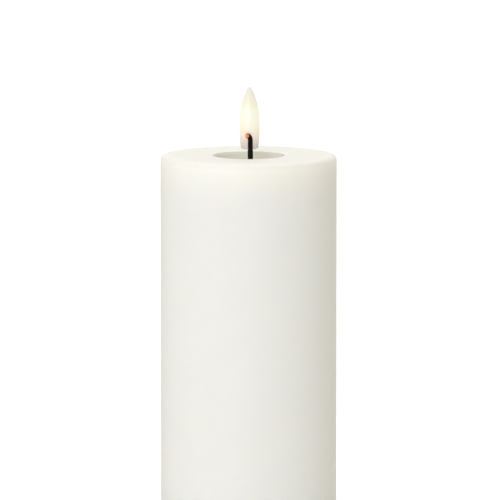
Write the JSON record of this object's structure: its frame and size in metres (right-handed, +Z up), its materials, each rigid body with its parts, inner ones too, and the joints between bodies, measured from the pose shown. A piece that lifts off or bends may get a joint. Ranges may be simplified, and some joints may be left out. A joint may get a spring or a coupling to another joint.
{
  "type": "flameless LED candle",
  "caption": "Real-wax LED pillar candle with a translucent flame on a bent wick over a sunken crater, run from AA cells under a coin-screw cover.",
  "frame": {"origin": "on the table under the middle of the candle, level with the undersides of the rubber feet", "axes": "+Z up along the candle's axis; -Y towards the side where the wick stands in front of the flame; +X to the right of someone who looks at that side"},
  "size_m": [0.075, 0.075, 0.1792],
  "materials": {
    "wax": "satin real wax",
    "flame": "translucent satin, lit from inside",
    "black_plastic": "satin",
    "ember": "glossy orange",
    "led_lens": "clear epoxy",
    "white_plastic": "fine moulded texture",
    "insert_plastic": "as moulded",
    "screw_steel": "zinc plated",
    "spring_steel": "nickel plated",
    "tinned_copper": "tinned",
    "rubber": "matte",
    "cell_jacket": "printed sleeve, plain bands",
    "circuit_board": "solder mask",
    "chip_black": "moulded",
    "crystal_can": "drawn can",
    "capacitor_sleeve": "shrunk sleeve",
    "resistor_body": "chip with tinned ends",
    "switch_steel": "tin plated",
    "phenolic": "pressed board",
    "contact_bronze": "spring bronze",
    "red_wire": "PVC",
    "black_wire": "PVC"
  },
  "bodies": {
    "candle": {"wax_shell": "wax", "stem_bush": "white_plastic", "stem_collar": "black_plastic", "wick": "black_plastic", "wick_ember": "ember", "flame_shell": "flame", "flame_plug": "flame", "flame_led": "led_lens", "led_leads": "tinned_copper", "base_plate": "white_plastic", "rubber_feet": "rubber", "base_screws": "screw_steel", "core_insert": "insert_plastic", "battery_a": "cell_jacket", "battery_b": "cell_jacket", "positive_contact": "spring_steel", "negative_contact": "spring_steel", "negative_spring": "spring_steel", "control_board": "circuit_board", "driver_chip": "chip_black", "timer_crystal": "crystal_can", "board_capacitor": "capacitor_sleeve", "board_resistors": "resistor_body", "switch_can": "switch_steel", "switch_back": "phenolic", "switch_pins": "tinned_copper", "led_wire_red": "red_wire", "led_wire_black": "black_wire", "heat_shrink_sleeves": "black_plastic", "battery_wire_red": "red_wire", "battery_wire_black": "black_wire"},
    "switch_lever": {"switch_lever": "black_plastic", "switch_wiper": "contact_bronze"},
    "battery_cover": {"battery_cover": "white_plastic", "screw_retainer": "spring_steel", "bridge_plate": "spring_steel", "bridge_spring": "spring_steel"},
    "cover_screw": {"cover_screw": "screw_steel"}
  },
  "joints": [
    {"name": "switch_slide", "type": "slide", "parent": "candle", "child": "switch_lever", "axis": [1, 0, 0], "range_m": [0, 0.004]},
    {"name": "battery_cover_slide", "type": "slide", "parent": "candle", "child": "battery_cover", "axis": [0, 0, -1], "range_m": [0, 0.022]},
    {"name": "cover_screw_turn", "type": "hinge", "parent": "battery_cover", "child": "cover_screw", "pos_m": [0, -0.0033, 0.001], "axis": [0, 0, -1], "range_deg": [0, 1800]}
  ]
}
